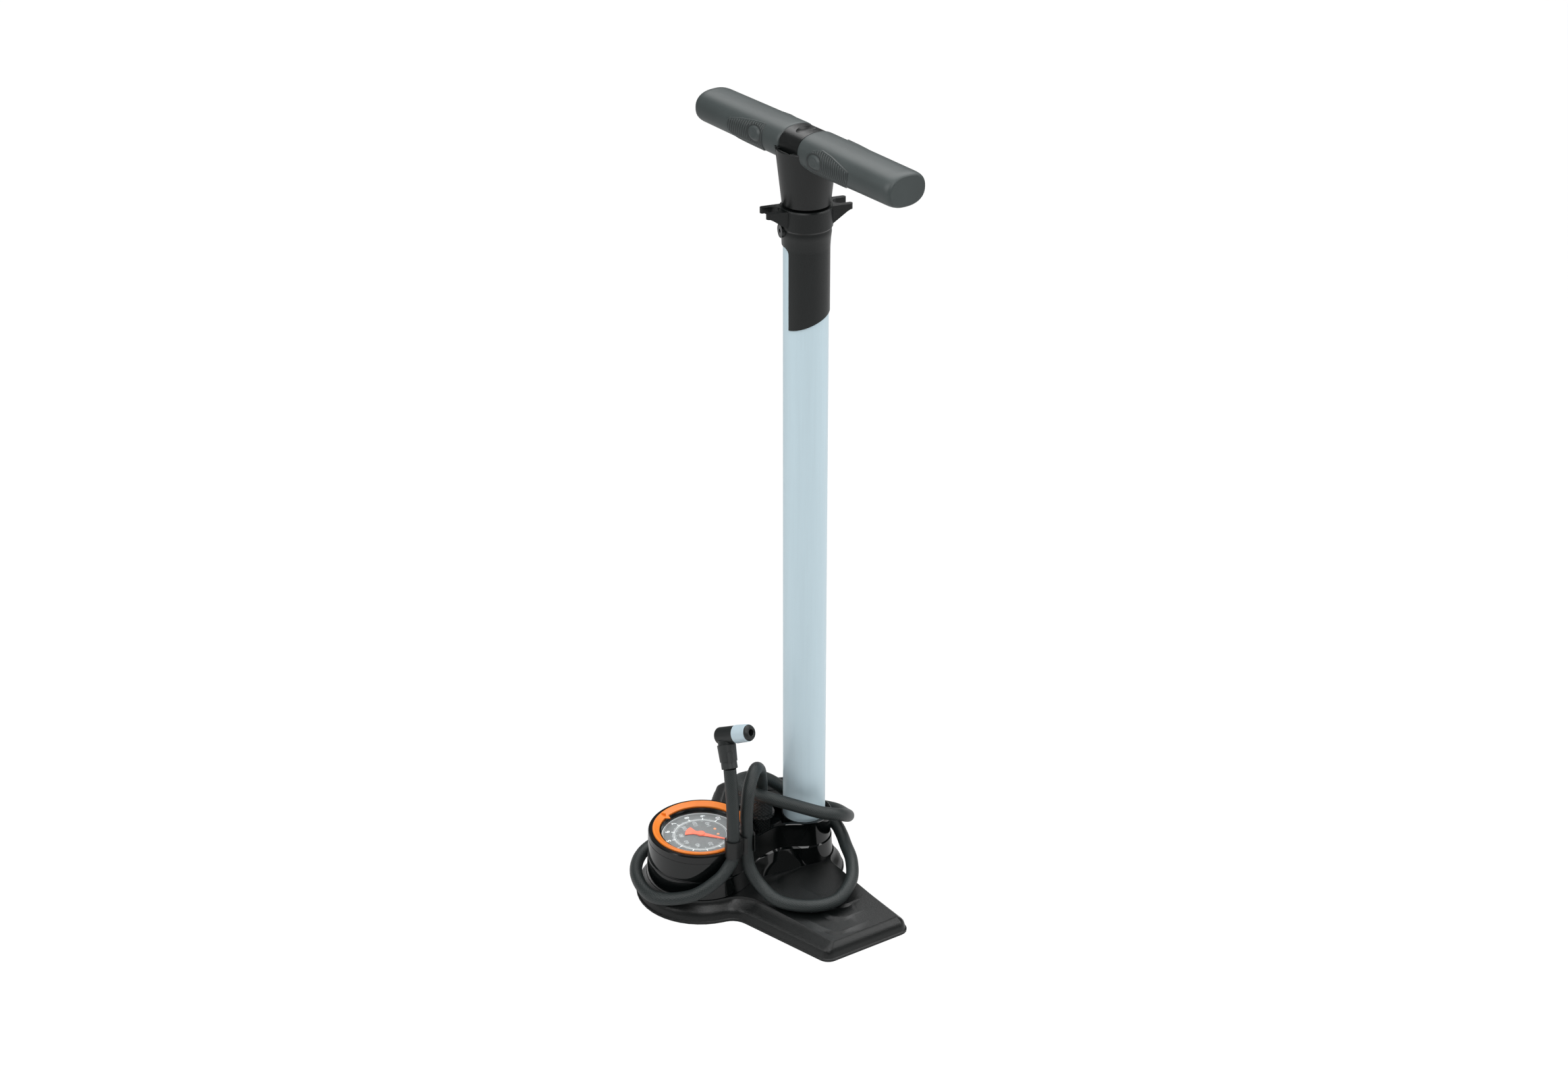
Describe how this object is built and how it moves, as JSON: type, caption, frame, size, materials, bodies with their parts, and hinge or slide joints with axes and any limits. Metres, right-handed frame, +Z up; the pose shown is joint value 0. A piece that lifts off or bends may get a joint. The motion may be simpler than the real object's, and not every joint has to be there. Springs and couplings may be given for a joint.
{
  "type": "floor bicycle pump",
  "caption": "Upright floor pump with a T handle, a slim barrel, a winged foot plate, a pressure gauge at its foot and a hose with a push-on valve head.",
  "frame": {"origin": "on the floor under the barrel's axis, at the underside of the foot plate's middle boss", "axes": "+Z up along the barrel, the gauge towards -Y, the two foot wings along +X and -X"},
  "size_m": [0.2752, 0.203, 0.6602],
  "materials": {
    "plate_plastic": "matt moulded plastic",
    "housing_plastic": "glossy moulded plastic",
    "steel": "zinc plated",
    "barrel_paint": "satin lacquer on aluminium",
    "inner_plastic": "moulded",
    "seal_rubber": "smooth",
    "valve_disc": "smooth",
    "spring_steel": "drawn wire",
    "case_plastic": "glossy moulded plastic",
    "lens_clear": "clear polished plastic",
    "lens_ring_white": "white moulded",
    "dial_face": "printed card",
    "movement_brass": "machined",
    "bourdon_brass": "drawn tube",
    "needle_paint": "satin paint",
    "bezel_orange": "glossy translucent moulding",
    "fitting_plastic": "glossy moulded plastic",
    "hose_rubber": "smooth satin rubber",
    "clip_plastic": "moulded",
    "socket_rubber": "moulded rubber",
    "sleeve_rubber": "moulded rubber",
    "head_paint": "black anodised",
    "band_blue": "satin anodised",
    "nozzle_paint": "black anodised",
    "head_seal_rubber": "smooth",
    "collar_plastic": "glossy moulded plastic",
    "screw_steel": "blackened",
    "bush_plastic": "acetal",
    "wiper_rubber": "smooth",
    "piston_plastic": "moulded",
    "piston_rubber": "greased",
    "nut_steel": "zinc plated",
    "rod_chrome": "hard chrome",
    "rod_nut_steel": "zinc plated",
    "core_plastic": "moulded plastic",
    "grip_rubber": "soft matt rubber"
  },
  "bodies": {
    "pump_body": {"base_plate": "plate_plastic", "housing": "housing_plastic", "housing_screws": "steel", "barrel": "barrel_paint", "barrel_foot": "inner_plastic", "foot_seal": "seal_rubber", "valve_spring": "spring_steel", "gauge_case": "case_plastic", "gauge_lens": "lens_clear", "lens_ring": "lens_ring_white", "gauge_dial": "dial_face", "gauge_movement": "movement_brass", "bourdon_tube": "bourdon_brass", "hose_fitting": "fitting_plastic", "hose": "hose_rubber", "hose_clip": "clip_plastic", "head_socket": "socket_rubber", "head_sleeve": "sleeve_rubber", "head_body": "head_paint", "head_band": "band_blue", "head_nozzle": "nozzle_paint", "head_seal": "head_seal_rubber", "collar": "collar_plastic", "collar_screw": "screw_steel", "rod_bush": "bush_plastic", "rod_wiper": "wiper_rubber"},
    "check_valve": {"check_valve": "valve_disc"},
    "needle": {"gauge_needle": "needle_paint"},
    "bezel": {"gauge_bezel": "bezel_orange"},
    "piston": {"piston": "piston_plastic", "piston_seal": "piston_rubber"},
    "handle": {"piston_nut": "nut_steel", "piston_rod": "rod_chrome", "rod_nut": "rod_nut_steel", "handle_core": "core_plastic", "grip_right": "grip_rubber", "grip_left": "grip_rubber"}
  },
  "joints": [
    {"name": "piston_slide", "type": "slide", "parent": "pump_body", "child": "piston", "axis": [0, 0, 1], "range_m": [0, 0.5]},
    {"name": "handle_turn", "type": "hinge", "parent": "piston", "child": "handle", "pos_m": [0, 0, 0], "axis": [0, 0, 1], "continuous": true},
    {"name": "needle_turn", "type": "hinge", "parent": "pump_body", "child": "needle", "pos_m": [0, -0.0915, 0.05], "axis": [0, 0, -1], "range_deg": [0, 280], "stiffness_Nm_per_rad": 0.0002},
    {"name": "bezel_turn", "type": "hinge", "parent": "pump_body", "child": "bezel", "pos_m": [0, -0.0915, 0.058], "axis": [0, 0, 1], "continuous": true},
    {"name": "valve_lift", "type": "slide", "parent": "pump_body", "child": "check_valve", "axis": [0, 0, -1], "range_m": [0, 0.0015], "stiffness_N_per_m": 150, "springref_m": -0.001, "deforming": ["valve_spring"]}
  ]
}
